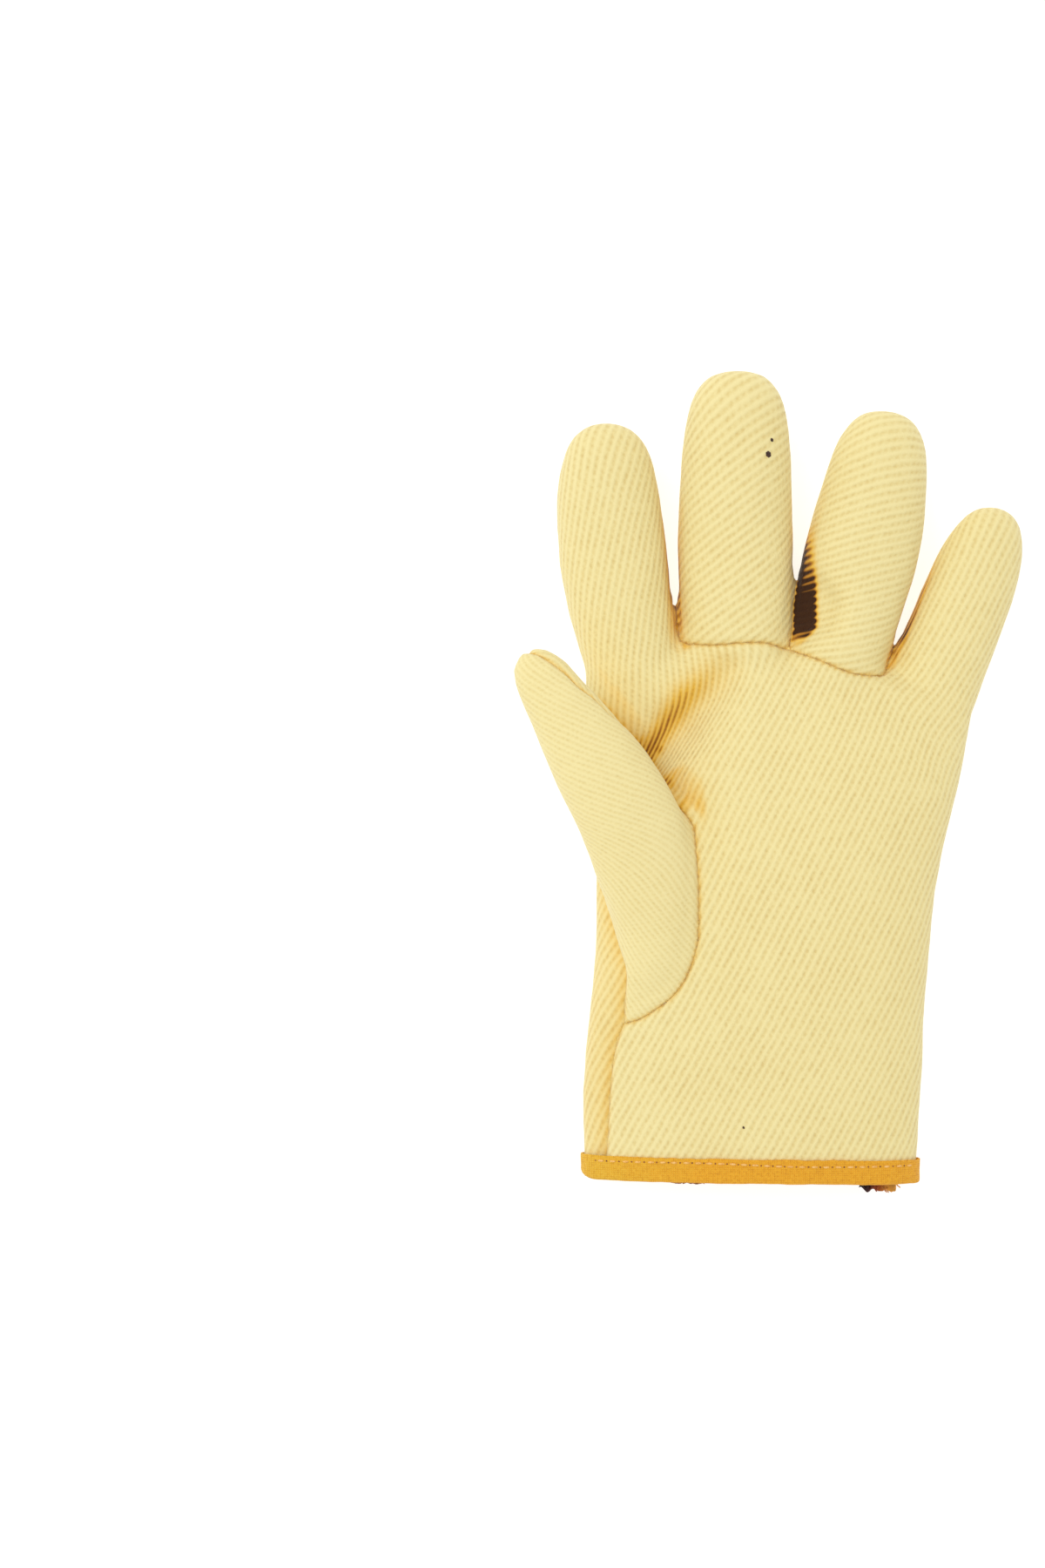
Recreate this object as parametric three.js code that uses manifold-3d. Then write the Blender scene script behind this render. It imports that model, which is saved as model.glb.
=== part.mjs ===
// A heat-resistant work glove for the left hand, lying on its back with the palm up.
// It is cut and sewn from thick twill: one back panel for the hand and the four finger backs, a palm panel
// that carries on up the index and little fingers, a front for the middle finger, a front for the ring
// finger, a thumb with a gusset on the side that faces the index finger, and a tape that binds the cuff.
// Millimetres. +X runs to the little finger, +Y to the fingertips, +Z up from the floor to the palm.
import * as THREE from "three";
import { mergeVertices } from "three/addons/utils/BufferGeometryUtils.js";
import Module from "manifold-3d";

// Driving dimensions of the cloth
const clothWall = 2.6;
const seamGap = 0.3;

// Driving dimensions of the hand
const cuffWidth = 114.6;
const handLength = 184;
const handDepth = 40;
const ulnarDrop = 10;
const fingerWeb = 3.1;

// Driving dimensions of the fingers. lean is in degrees from straight ahead, and bow is how far the middle
// of the finger bends sideways. Its root is where the axis crosses the line of the crotches: across is
// that place as a share of cuffWidth from the cuff's middle, and drop how far it lies below handLength, as
// a share of ulnarDrop.
const index = { name: "index", length: 77.6, width: 37.4, lean: -5.5, bow: -3, across: -0.363, drop: 0 };
const middle = { name: "middle", length: 95, width: 39.8, lean: 0, bow: -0.1, across: -0.0445, drop: 0 };
const ring = { name: "ring", length: 86, width: 39.4, lean: 11.8, bow: 1.8, across: 0.252, drop: 0.3 };
const little = { name: "little", length: 67, width: 31.6, lean: 20.8, bow: 1, across: 0.541, drop: 1.4 };
const fingerDepthShare = 0.76;
const fingerRoot = 14;
const rootNarrowing = 0.84;
const rootRise = 1.08;

// How the glove lies: the share of each section's depth that is pressed flat on the floor, how high the tip
// of the middle finger curls up, and the share of handLength where that curl starts
const restShare = 0.1;
const fingerLift = 13;
const curlStart = 0.93;

// Driving dimensions of the thumb
const thumbWidth = 35.4;
const thumbDepth = 27;
const thumbReach = 134;
const thumbBaseX = -0.314 * cuffWidth;
const thumbBaseY = 0.272 * handLength;
const leafSpread = 6;

// Driving dimensions of the cuff's tape
const tapeWidth = 9.6;
const tapeThickness = 0.9;
const tabWidth = 13;
const tabReach = 4;
const tabAcross = 0.388 * cuffWidth;

// Heights of the seams between the back panel and the fronts, above the resting face, and the shares of
// handLength between which the one falls to the other
const fingerSeamHeight = 4.2;
const handSeamHeight = 11;
const seamFall = [0.6, 0.96];

// How square the rounded sections are: 2 is an ellipse
const handSquareness = 2.4;
const fingerSquareness = 2.2;
const thumbSquareness = 2.1;

// How finely the curved walls are divided
const palmSides = 22;
const backSides = 10;
const handRings = 16;
const fingerSides = 18;
const thumbSides = 16;
const leastHalfWidth = 0.5;

// What the tape takes up outside the cloth at the cuff, and how far a cut runs on past what it cuts
const tapeStand = tapeThickness + seamGap;
const overrun = 5;

// Sections of the hand from the cuff to the crotches. along is a share of handLength, left and right are
// shares of cuffWidth from the cuff's middle, depth is a share of handDepth, and stand says how far the
// section is lifted to make room for the tape.
const HAND_SECTIONS = [
  { along: 0.0, left: -0.5, right: 0.5, depth: 0.8, stand: 1 },
  { along: 0.06, left: -0.503, right: 0.502, depth: 0.82, stand: 1 },
  { along: 0.14, left: -0.508, right: 0.508, depth: 0.87, stand: 0.3 },
  { along: 0.22, left: -0.502, right: 0.515, depth: 0.92, stand: 0 },
  { along: 0.31, left: -0.486, right: 0.52, depth: 0.96, stand: 0 },
  { along: 0.4, left: -0.472, right: 0.532, depth: 0.99, stand: 0 },
  { along: 0.49, left: -0.467, right: 0.545, depth: 1.0, stand: 0 },
  { along: 0.58, left: -0.467, right: 0.561, depth: 1.0, stand: 0 },
  { along: 0.67, left: -0.472, right: 0.592, depth: 0.98, stand: 0 },
  { along: 0.76, left: -0.48, right: 0.628, depth: 0.94, stand: 0 },
  { along: 0.84, left: -0.49, right: 0.65, depth: 0.88, stand: 0 },
  { along: 0.92, left: -0.498, right: 0.67, depth: 0.81, stand: 0 },
  { along: 0.97, left: -0.5, right: 0.675, depth: 0.72, stand: 0 },
  { along: 1.0, left: -0.49, right: 0.645, depth: 0.54, stand: 0 },
];

// Sections of the fingers from the crotch line to the tip. along is a share of a finger's length, and the
// other columns are shares of that finger's own width, and of its depth.
const FINGER_SECTIONS = [
  { along: 0.0, index: 0.91, middle: 0.95, ring: 0.88, little: 1.07, depth: 1.0 },
  { along: 0.2, index: 0.96, middle: 0.985, ring: 0.945, little: 1.02, depth: 1.0 },
  { along: 0.4, index: 1.0, middle: 1.0, ring: 1.0, little: 1.0, depth: 0.98 },
  { along: 0.57, index: 0.985, middle: 0.985, ring: 0.975, little: 0.97, depth: 0.96 },
  { along: 0.7, index: 0.945, middle: 0.955, ring: 0.91, little: 0.91, depth: 0.92 },
  { along: 0.8, index: 0.875, middle: 0.895, ring: 0.85, little: 0.82, depth: 0.84 },
  { along: 0.88, index: 0.765, middle: 0.81, ring: 0.75, little: 0.7, depth: 0.74 },
  { along: 0.94, index: 0.6, middle: 0.67, ring: 0.6, little: 0.54, depth: 0.58 },
  { along: 0.98, index: 0.37, middle: 0.45, ring: 0.39, little: 0.35, depth: 0.38 },
  { along: 1.0, index: 0, middle: 0, ring: 0, little: 0, depth: 0 },
];

// Sections of the thumb from inside the heel of the hand to its tip. across and along are shares of
// thumbReach from the thumb's base, height is a share of handDepth, width and depth of the thumb's own, and
// seamLow and seamHigh are the angles of the gusset's seams, in degrees up from the side towards the index.
const THUMB_SECTIONS = [
  { across: 0.0, along: 0.0, height: 0.5, width: 0.62, depth: 0.62, seamLow: 0, seamHigh: 0 },
  { across: 0.012, along: 0.1, height: 0.61, width: 0.74, depth: 0.78, seamLow: 0, seamHigh: 0 },
  { across: 0.032, along: 0.21, height: 0.74, width: 0.76, depth: 0.88, seamLow: 0, seamHigh: 0 },
  { across: 0.028, along: 0.315, height: 0.79, width: 0.89, depth: 0.97, seamLow: 0, seamHigh: 0 },
  { across: 0.004, along: 0.42, height: 0.87, width: 0.98, depth: 1.0, seamLow: -48, seamHigh: -40 },
  { across: -0.03, along: 0.525, height: 0.96, width: 1.0, depth: 1.0, seamLow: -58, seamHigh: -30 },
  { across: -0.075, along: 0.614, height: 1.03, width: 0.965, depth: 0.97, seamLow: -62, seamHigh: -20 },
  { across: -0.129, along: 0.7, height: 1.07, width: 0.895, depth: 0.91, seamLow: -64, seamHigh: -6 },
  { across: -0.181, along: 0.778, height: 1.08, width: 0.765, depth: 0.83, seamLow: -64, seamHigh: 14 },
  { across: -0.229, along: 0.857, height: 1.07, width: 0.65, depth: 0.75, seamLow: -64, seamHigh: 34 },
  { across: -0.272, along: 0.923, height: 1.05, width: 0.56, depth: 0.63, seamLow: -62, seamHigh: 48 },
  { across: -0.302, along: 0.967, height: 1.04, width: 0.39, depth: 0.42, seamLow: -60, seamHigh: 56 },
  { across: -0.317, along: 0.99, height: 1.03, width: 0, depth: 0, seamLow: -60, seamHigh: 60 },
];
const spreadFade = [0.35, 0.62];

// The gusset starts at the first section with seams, and the foot of the front one section in
const gussetStart = THUMB_SECTIONS.findIndex((row) => row.seamLow < 0);
const leafFoot = THUMB_SECTIONS.findIndex((row) => row.along > 0) + 1;

// Outline of the thumb's front where it is sewn onto the palm. along is a share of handLength, and left and
// right are shares of cuffWidth from the middle. Above the last rows the thumb stands free.
const LEAF_OUTLINE = [
  { along: 0.303, left: -0.386, right: -0.37 },
  { along: 0.318, left: -0.385, right: -0.318 },
  { along: 0.347, left: -0.383, right: -0.25 },
  { along: 0.38, left: -0.381, right: -0.208 },
  { along: 0.417, left: -0.385, right: -0.182 },
  { along: 0.45, left: -0.42, right: -0.168 },
  { along: 0.486, left: -0.6, right: -0.161 },
  { along: 0.567, left: -0.8, right: -0.16 },
  { along: 0.65, left: -0.8, right: -0.175 },
  { along: 1.3, left: -0.8, right: -0.175 },
];

// Folds pressed into the palm side, by the points that each one passes, from its deep end to its shallow
// end. across is a share of cuffWidth from the middle and along a share of handLength from the cuff. depth
// and spread are shares of handDepth.
const PALM_FOLDS = [
  [
    { across: -0.42, along: 0.77, depth: 0.2, spread: 0.34 },
    { across: -0.3, along: 0.8, depth: 0.26, spread: 0.27 },
  ],
  [
    { across: -0.36, along: 0.745, depth: 0.36, spread: 0.27 },
    { across: -0.05, along: 0.965, depth: 0.04, spread: 0.2 },
  ],
  [
    { across: -0.3, along: 0.77, depth: 0.26, spread: 0.22 },
    { across: -0.17, along: 0.67, depth: 0.06, spread: 0.2 },
  ],
];

// Seam across the palm under the middle and ring fingers. across is a share of the two fingers' joint
// width from the index side, and drop is how far the seam lies below handLength, in shares of ulnarDrop.
const PALM_SEAM = [
  { across: 0.0, drop: -0.2 },
  { across: 0.16, drop: -0.1 },
  { across: 0.36, drop: -0.2 },
  { across: 0.53, drop: 0.0 },
  { across: 0.68, drop: 0.42 },
  { across: 0.84, drop: 0.86 },
  { across: 1.0, drop: 0.95 },
];

// Edge of the back panel where it wraps round onto the palm below the thumb. along is a share of
// handLength, across a share of cuffWidth from the middle.
const WRAP_SEAM = [
  { along: -0.05, across: -0.44 },
  { along: 0.05, across: -0.44 },
  { along: 0.14, across: -0.432 },
  { along: 0.21, across: -0.425 },
  { along: 0.27, across: -0.408 },
  { along: 0.31, across: -0.382 },
  { along: 0.5, across: -0.37 },
  { along: 0.62, across: -0.44 },
  { along: 0.68, across: -0.6 },
];

const wasm = await Module();
wasm.setup();

const degrees = THREE.MathUtils.degToRad;
const smoothstep = THREE.MathUtils.smoothstep;

// A smooth function of one column of a table against another
function curveOf(rows, input, output) {
  const at = rows.map((row) => row[input]);
  const curve = new THREE.CubicInterpolant(at, rows.map((row) => row[output]), 1);
  return (x) => curve.evaluate(THREE.MathUtils.clamp(x, at[0], at.at(-1)))[0];
}

// How far the fingers curl up from the floor, for a point this far from the cuff
function curl(y) {
  const share = Math.max(0, y - curlStart * handLength) / middle.length;
  return fingerLift * share * share;
}

// How deep the folds are at a point of the palm
function foldDepth(x, y) {
  const point = new THREE.Vector3(x, y, 0);
  let depth = 0;
  for (const [start, end] of PALM_FOLDS) {
    const from = new THREE.Vector3(start.across * cuffWidth, start.along * handLength, 0);
    const to = new THREE.Vector3(end.across * cuffWidth, end.along * handLength, 0);
    const line = new THREE.Line3(from, to);
    const share = line.closestPointToPointParameter(point, true);
    const spread = THREE.MathUtils.lerp(start.spread, end.spread, share) * handDepth;
    const deep = THREE.MathUtils.lerp(start.depth, end.depth, share) * handDepth;
    const away = line.at(share, new THREE.Vector3()).distanceTo(point) / spread;
    depth = Math.max(depth, deep * Math.exp(-away * away));
  }
  return depth;
}

// One point of a flattened oval: the angle runs from the little finger's side up to the palm
function ovalPoint(angle, halfWidth, halfDepth, squareness) {
  const power = 2 / squareness;
  const round = (value) => Math.sign(value) * Math.abs(value) ** power;
  return { side: halfWidth * round(Math.cos(angle)), up: halfDepth * round(Math.sin(angle)) };
}

// A point of a tube that lies on the floor: folded on the palm side, pressed flat below, and curled up
function lay(x, y, z, middleZ, floorZ) {
  const palmSide = smoothstep(z, middleZ * 0.9, middleZ * 1.7);
  const pressed = Math.max(z - palmSide * foldDepth(x, y), floorZ);
  return new THREE.Vector3(x, y, pressed + curl(y));
}

// A closed skin through rings of points, with a middle point at each end
function skin(rings) {
  const sides = rings[0].length;
  const points = rings.flat();
  const centreOf = (ringPoints) =>
    ringPoints.reduce((sum, p) => sum.add(p), new THREE.Vector3()).divideScalar(ringPoints.length);
  const first = points.push(centreOf(rings[0])) - 1;
  const last = points.push(centreOf(rings.at(-1))) - 1;
  const faces = [];
  for (let i = 0; i < sides; i++) {
    const j = (i + 1) % sides;
    for (let r = 0; r + 1 < rings.length; r++) {
      const a = r * sides + i;
      const b = r * sides + j;
      faces.push(a, b, b + sides, a, b + sides, a + sides);
    }
    faces.push(first, j, i);
    const end = (rings.length - 1) * sides;
    faces.push(last, end + i, end + j);
  }
  const geometry = new THREE.BufferGeometry().setFromPoints(points);
  geometry.setIndex(faces);
  return geometry;
}

// A geometry as a solid that can be joined and cut
function solidOf(geometry) {
  const bare = geometry.index ? geometry.clone() : geometry;
  bare.deleteAttribute("normal");
  bare.deleteAttribute("uv");
  const merged = mergeVertices(bare, 1e-4);
  const mesh = new wasm.Mesh({
    numProp: 3,
    vertProperties: Float32Array.from(merged.attributes.position.array),
    triVerts: Uint32Array.from(merged.index.array),
  });
  const solid = new wasm.Manifold(mesh);
  if (solid.volume() >= 0) return solid;
  for (let i = 0; i < mesh.triVerts.length; i += 3) {
    [mesh.triVerts[i + 1], mesh.triVerts[i + 2]] = [mesh.triVerts[i + 2], mesh.triVerts[i + 1]];
  }
  return new wasm.Manifold(mesh);
}

function union(solids) {
  return solids.reduce((sum, solid) => sum.add(solid));
}

// The piece of a cut that is left once crumbs are cleared away
function mainBody(solid) {
  return solid.decompose().sort((a, b) => b.volume() - a.volume())[0];
}

// The hand's rings lean back on the little finger's side, most of all near the crotches
const slantGathering = 6;

// The hand between two shares of its length, grown by a margin or shrunk by a negative one
const handShape = {};
for (const column of ["left", "right", "depth", "stand"]) {
  handShape[column] = curveOf(HAND_SECTIONS, "along", column);
}

function handRing(along, margin) {
  const left = handShape.left(along) * cuffWidth - margin;
  const right = handShape.right(along) * cuffWidth + margin;
  const depth = handShape.depth(along) * handDepth;
  const rest = restShare * depth;
  const stand = handShape.stand(along) * tapeStand;
  const halfDepth = (depth + rest) / 2;
  const middleZ = halfDepth - rest + stand;
  const points = [];
  for (let i = 0; i < palmSides + backSides; i++) {
    const angle = i < palmSides ? (Math.PI * i) / palmSides : Math.PI * (1 + (i - palmSides) / backSides);
    const oval = ovalPoint(angle, (right - left) / 2, halfDepth + margin, handSquareness);
    const x = (left + right) / 2 + oval.side;
    const outward = smoothstep(x, middle.across * cuffWidth, little.across * cuffWidth);
    const slant = ulnarDrop * outward * Math.max(along, 0) ** slantGathering;
    const y = along * handLength - slant;
    points.push(lay(x, y, middleZ + oval.up, middleZ, stand - margin));
  }
  return points;
}

// A length from the cuff as a share of handLength
function alongShare(length) {
  return length / handLength;
}

// The rings stand closer together towards the crotches, where the folds are
const ringGathering = 1.4;
const leastStep = 0.01;

function handSolid(from, to, margin) {
  const stations = [];
  for (let i = 1; i < handRings; i++) {
    const along = 1 - (1 - i / handRings) ** ringGathering;
    if (along > from + leastStep && along < to - leastStep) stations.push(along);
  }
  const rings = [from, ...stations, to].map((along) => handRing(along, margin));
  return solidOf(skin(rings));
}

function rootY(finger) {
  return handLength - finger.drop * ulnarDrop;
}

// The middle of a finger at a share of its length, with the directions ahead and to the side there
function fingerAxis(finger, along) {
  const lean = degrees(finger.lean);
  const straight = new THREE.Vector2(Math.sin(lean), Math.cos(lean));
  const across = new THREE.Vector2(straight.y, -straight.x);
  const inside = Math.max(along, 0);
  const bend = 4 * finger.bow * (inside * (1 - inside) + Math.min(along, 0));
  const slope = (4 * finger.bow * (1 - 2 * inside)) / finger.length;
  const centre = new THREE.Vector2(finger.across * cuffWidth, rootY(finger))
    .addScaledVector(straight, along * finger.length)
    .addScaledVector(across, bend);
  const ahead = straight.clone().addScaledVector(across, slope).normalize();
  return { centre, ahead, side: new THREE.Vector2(ahead.y, -ahead.x) };
}

// A finger, shrunk by an inset: its rings follow the profile and are set in square to it
function fingerSolid(finger, inset) {
  const widthAt = curveOf(FINGER_SECTIONS, "along", finger.name);
  const depthAt = curveOf(FINGER_SECTIONS, "along", "depth");
  const depth = fingerDepthShare * finger.width;
  const rest = restShare * depth;
  const middleZ = (depth - rest) / 2;
  const rings = [];
  const tip = 0.995;
  const step = 0.01;
  const stations = [-fingerRoot / finger.length, ...FINGER_SECTIONS.map((row) => Math.min(row.along, tip))];
  for (const along of stations) {
    const narrowed = along < 0 ? rootNarrowing : 1;
    const raised = along < 0 ? rootRise : 1;
    const before = Math.max(0, along - step);
    const after = Math.min(tip, along + step);
    const narrowing = ((widthAt(before) - widthAt(after)) * finger.width) / 2;
    const slope = along < 0 ? 0 : narrowing / ((after - before) * finger.length);
    const square = inset / Math.hypot(1, slope);
    const halfWidth = (narrowed * widthAt(along) * finger.width) / 2 - square;
    const halfDepth = (raised * depthAt(along) * (depth + rest)) / 2 - square;
    if (Math.min(halfWidth, halfDepth) < leastHalfWidth) continue;
    const { centre, ahead, side } = fingerAxis(finger, along);
    centre.addScaledVector(ahead, -square * slope);
    const points = [];
    for (let i = 0; i < fingerSides; i++) {
      const angle = (2 * Math.PI * i) / fingerSides;
      const oval = ovalPoint(angle, halfWidth, halfDepth, fingerSquareness);
      const at = centre.clone().addScaledVector(side, oval.side);
      points.push(lay(at.x, at.y, middleZ + oval.up, middleZ, inset));
    }
    rings.push(points);
  }
  return solidOf(skin(rings));
}

// The thumb's rings stand square to a curve through the middles of its sections
const thumbStations = THUMB_SECTIONS.map(
  (row) =>
    new THREE.Vector3(
      thumbBaseX + row.across * thumbReach,
      thumbBaseY + row.along * thumbReach,
      row.height * handDepth,
    ),
);
const thumbAxis = new THREE.CatmullRomCurve3(thumbStations, false, "centripetal");

const thumbTip = THUMB_SECTIONS.length - 1;

function thumbFrame(station) {
  const ahead = thumbAxis.getTangent(station / thumbTip);
  const up = new THREE.Vector3(0, 0, 1).addScaledVector(ahead, -ahead.z).normalize();
  const side = new THREE.Vector3().crossVectors(ahead, up);
  return { centre: thumbAxis.getPoint(station / thumbTip), ahead, up, side };
}

// How much the thumb narrows along its axis at a station that stands free of the palm
function thumbTaper(station) {
  if (station < gussetStart) return 0;
  const before = station - 1;
  const after = Math.min(station + 1, thumbTip);
  const narrowing = ((THUMB_SECTIONS[before].width - THUMB_SECTIONS[after].width) * thumbWidth) / 2;
  return narrowing / thumbStations[before].distanceTo(thumbStations[after]);
}

// The thumb, grown by a margin, and at its foot by a spread more, which fades out where it leaves the palm
function thumbSolid(margin, spread = 0) {
  const rings = [];
  THUMB_SECTIONS.forEach((row, station) => {
    const taper = thumbTaper(station);
    const square = margin / Math.hypot(1, taper);
    const grown = square + spread * (1 - smoothstep(row.along, ...spreadFade));
    const halfWidth = (row.width * thumbWidth) / 2 + grown;
    const halfDepth = (row.depth * thumbDepth) / 2 + grown;
    if (station < thumbTip && Math.min(halfWidth, halfDepth) < leastHalfWidth) return;
    const atLeast = Math.max(leastHalfWidth, Math.min(halfWidth, halfDepth));
    const { centre, ahead, side, up } = thumbFrame(station);
    centre.addScaledVector(ahead, square * taper);
    const points = [];
    for (let i = 0; i < thumbSides; i++) {
      const angle = (2 * Math.PI * i) / thumbSides;
      const wide = station < thumbTip ? halfWidth : atLeast;
      const deep = station < thumbTip ? halfDepth : atLeast;
      const oval = ovalPoint(angle, wide, deep, thumbSquareness);
      points.push(centre.clone().addScaledVector(side, oval.side).addScaledVector(up, oval.up));
    }
    rings.push(points);
  });
  return solidOf(skin(rings));
}

// A wedge round the thumb's axis that holds the gusset, wider by a margin at each seam
function gussetWedge(margin) {
  const steps = 5;
  const reach = thumbWidth * 0.75;
  const spare = (2 * margin) / (thumbWidth * THUMB_SECTIONS[gussetStart].width);
  const rings = THUMB_SECTIONS.slice(gussetStart).map((row, i) => {
    const frame = thumbFrame(gussetStart + i);
    const from = degrees(row.seamLow) - spare;
    const to = degrees(row.seamHigh) + spare;
    const points = [frame.centre];
    for (let k = 0; k <= steps; k++) {
      const angle = from + ((to - from) * k) / steps;
      const point = frame.centre.clone().addScaledVector(frame.side, reach * Math.cos(angle));
      points.push(point.addScaledVector(frame.up, reach * Math.sin(angle)));
    }
    return points;
  });
  const { ahead } = thumbFrame(thumbTip);
  const beyond = rings.at(-1).map((p) => p.clone().addScaledVector(ahead, thumbDepth));
  const before = rings[0].map((p) => p.clone().addScaledVector(thumbFrame(gussetStart).ahead, -margin));
  return solidOf(skin(margin > 0 ? [before, ...rings, beyond] : [...rings, beyond]));
}

// A column over an outline in the floor's plane
function column(outline, low, high) {
  const shape = new THREE.Shape(outline.map(([x, y]) => new THREE.Vector2(x, y)));
  const geometry = new THREE.ExtrudeGeometry(shape, { depth: high - low, bevelEnabled: false });
  return solidOf(geometry.translate(0, 0, low));
}

const farUp = handDepth * 2;
const farDown = -2 * overrun;
const farAhead = handLength + middle.length * 1.3;

// Everything below the seams that join the back panel to the fronts
function backSlab(margin) {
  const width = cuffWidth * 3;
  const from = -4 * overrun;
  const steps = 18;
  const geometry = new THREE.BoxGeometry(width, farAhead - from, 1, 1, steps, 1);
  geometry.translate(0, (farAhead + from) / 2, 0);
  const position = geometry.attributes.position;
  for (let i = 0; i < position.count; i++) {
    const y = position.getY(i);
    const share = smoothstep(y / handLength, ...seamFall);
    const height = THREE.MathUtils.lerp(handSeamHeight, fingerSeamHeight, share) + curl(y) + margin;
    position.setZ(i, position.getZ(i) > 0 ? height : farDown);
  }
  return solidOf(geometry);
}

// Everything on the thumb's side of the seam where the back panel wraps onto the palm
function wrapColumn(margin) {
  const edge = WRAP_SEAM.map((row) => [row.across * cuffWidth + margin, row.along * handLength]);
  const top = edge.at(-1)[1];
  return column([[-cuffWidth, edge[0][1]], ...edge, [-cuffWidth, top]], farDown, farUp);
}

// A column over the thumb's front, wider by a margin
function leafColumn(margin) {
  const side = (name, sign) =>
    LEAF_OUTLINE.map((row) => [row[name] * cuffWidth + sign * margin, row.along * handLength]);
  const outline = [...side("left", -1), ...side("right", 1).reverse()];
  outline[0][1] -= margin;
  outline.at(-1)[1] -= margin;
  return column(outline, handSeamHeight, farUp);
}

// The stretch of the glove that the thumb's pieces make up, wider by a margin: the thumb itself and, round
// its foot and on the palm's side of its axis, the part of the palm that its front is spread over
function thumbZone(margin) {
  const axis = thumbStations.slice(leafFoot).map((station) => [station.x, station.y]);
  const low = thumbStations[leafFoot - 1].y;
  const palmSide = column(
    [[cuffWidth, 0], [-cuffWidth, 0], [-cuffWidth, low], ...axis, [cuffWidth, axis.at(-1)[1]]],
    farDown,
    farUp,
  );
  const spread = thumbSolid(margin, leafSpread).intersect(palmSide);
  return thumbSolid(margin).add(spread).intersect(leafColumn(margin));
}

// The x of a finger's edge at some distance from the cuff: side is -1 for its thumb side, 1 for the other
function fingerEdge(finger, y, side) {
  const lean = degrees(finger.lean);
  const share = (y - rootY(finger)) / Math.cos(lean) / finger.length;
  const inside = THREE.MathUtils.clamp(share, FINGER_SECTIONS[0].along, FINGER_SECTIONS.at(-4).along);
  const { centre } = fingerAxis(finger, inside);
  const half = (curveOf(FINGER_SECTIONS, "along", finger.name)(inside) * finger.width) / 2;
  return centre.x + (y - centre.y) * Math.tan(lean) + (side * half) / Math.cos(lean);
}

// The line halfway between two neighbouring fingers, from a starting height upwards
function between(first, second, from) {
  const steps = 8;
  const points = [];
  for (let i = 0; i <= steps; i++) {
    const y = from + ((farAhead - from) * i) / steps;
    points.push([(fingerEdge(first, y, 1) + fingerEdge(second, y, -1)) / 2, y]);
  }
  return points;
}

// The palm seam under a stretch of the two middle fingers, from one share of their width to another
const seamDrop = curveOf(PALM_SEAM, "across", "drop");
const seamLeft = between(index, middle, handLength)[0][0];
const seamMiddle = between(middle, ring, handLength)[0][0];
const seamRight = between(ring, little, handLength - ulnarDrop)[0][0];
const seamSplit = (seamMiddle - seamLeft) / (seamRight - seamLeft);

function palmSeam(from, to, margin) {
  const steps = 6;
  const points = [];
  for (let i = 0; i <= steps; i++) {
    const across = from + ((to - from) * i) / steps;
    const y = handLength - seamDrop(across) * ulnarDrop - margin;
    points.push([seamLeft + across * (seamRight - seamLeft), y]);
  }
  points[0][0] -= margin;
  points.at(-1)[0] += margin;
  return points;
}

function shifted(points, dx) {
  return points.map(([x, y]) => [x + dx, y]);
}

// A column that holds one finger's front, between its palm seam and the lines to its neighbours
function frontColumn(seam, left, right, margin) {
  return column([...seam, ...shifted(right, margin), ...shifted(left, -margin).reverse()], farDown, farUp);
}

const sideStart = handLength + 0.3 * ulnarDrop;
const indexLine = between(index, middle, sideStart);
const ringLine = between(middle, ring, sideStart);
const littleLine = between(ring, little, handLength - 0.9 * ulnarDrop);

function middleColumn(margin) {
  return frontColumn(palmSeam(0, seamSplit, margin), indexLine, ringLine, margin);
}

function ringColumn(margin) {
  return frontColumn(palmSeam(seamSplit, 1, margin), ringLine, littleLine, margin);
}

// The glove's outer form and its hollow
const fingers = [index, middle, ring, little];
const cuffEdge = alongShare(tapeStand);
const webEdge = 1 - alongShare(fingerWeb);
const handOuter = union([handSolid(cuffEdge, 1, 0), ...fingers.map((finger) => fingerSolid(finger, 0))]);
const handInner = union([
  handSolid(alongShare(-overrun), webEdge, -clothWall),
  ...fingers.map((finger) => fingerSolid(finger, clothWall)),
]);
const thumbOuter = thumbSolid(0);
const thumbInner = thumbSolid(-clothWall);
const hollow = handInner.add(thumbInner);

// The whole wall, and the parts of it that the thumb's pieces take from the hand
const wall = handOuter.add(thumbOuter).subtract(hollow);
const handWall = wall.subtract(thumbZone(seamGap));
const thumbWall = mainBody(wall.intersect(thumbZone(0)));

// The panels
const backCut = union([backSlab(0), wrapColumn(0)]);
const backCutWide = union([backSlab(seamGap), wrapColumn(seamGap)]);
const fronts = handWall.subtract(backCutWide);
const backPanel = mainBody(handWall.intersect(backCut));
const middleFront = mainBody(fronts.intersect(middleColumn(0)));
const ringFront = mainBody(fronts.intersect(ringColumn(0)).subtract(middleColumn(seamGap)));
const palmPanel = mainBody(fronts.subtract(middleColumn(seamGap)).subtract(ringColumn(seamGap)));
const thumbGusset = mainBody(thumbWall.intersect(gussetWedge(0)));
const thumbShell = mainBody(thumbWall.subtract(gussetWedge(seamGap)));

// The tape folded over the cuff's edge, as a channel that the cloth stands in
function tapeSolid() {
  const rounding = tapeThickness * 0.6;
  const outer = solidOf(
    skin([
      handRing(0, tapeStand - rounding),
      handRing(alongShare(rounding), tapeStand),
      handRing(alongShare(tapeWidth), tapeStand),
    ]),
  );
  const innerLayer = clothWall + seamGap + tapeThickness;
  const past = alongShare(tapeWidth + overrun);
  const mouth = handSolid(alongShare(-overrun), past, -innerLayer);
  const clothOuter = handSolid(alongShare(tapeThickness), past, seamGap);
  const clothInner = handSolid(0, past, -clothWall - seamGap);
  return outer.subtract(mouth).subtract(clothOuter.subtract(clothInner));
}

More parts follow.
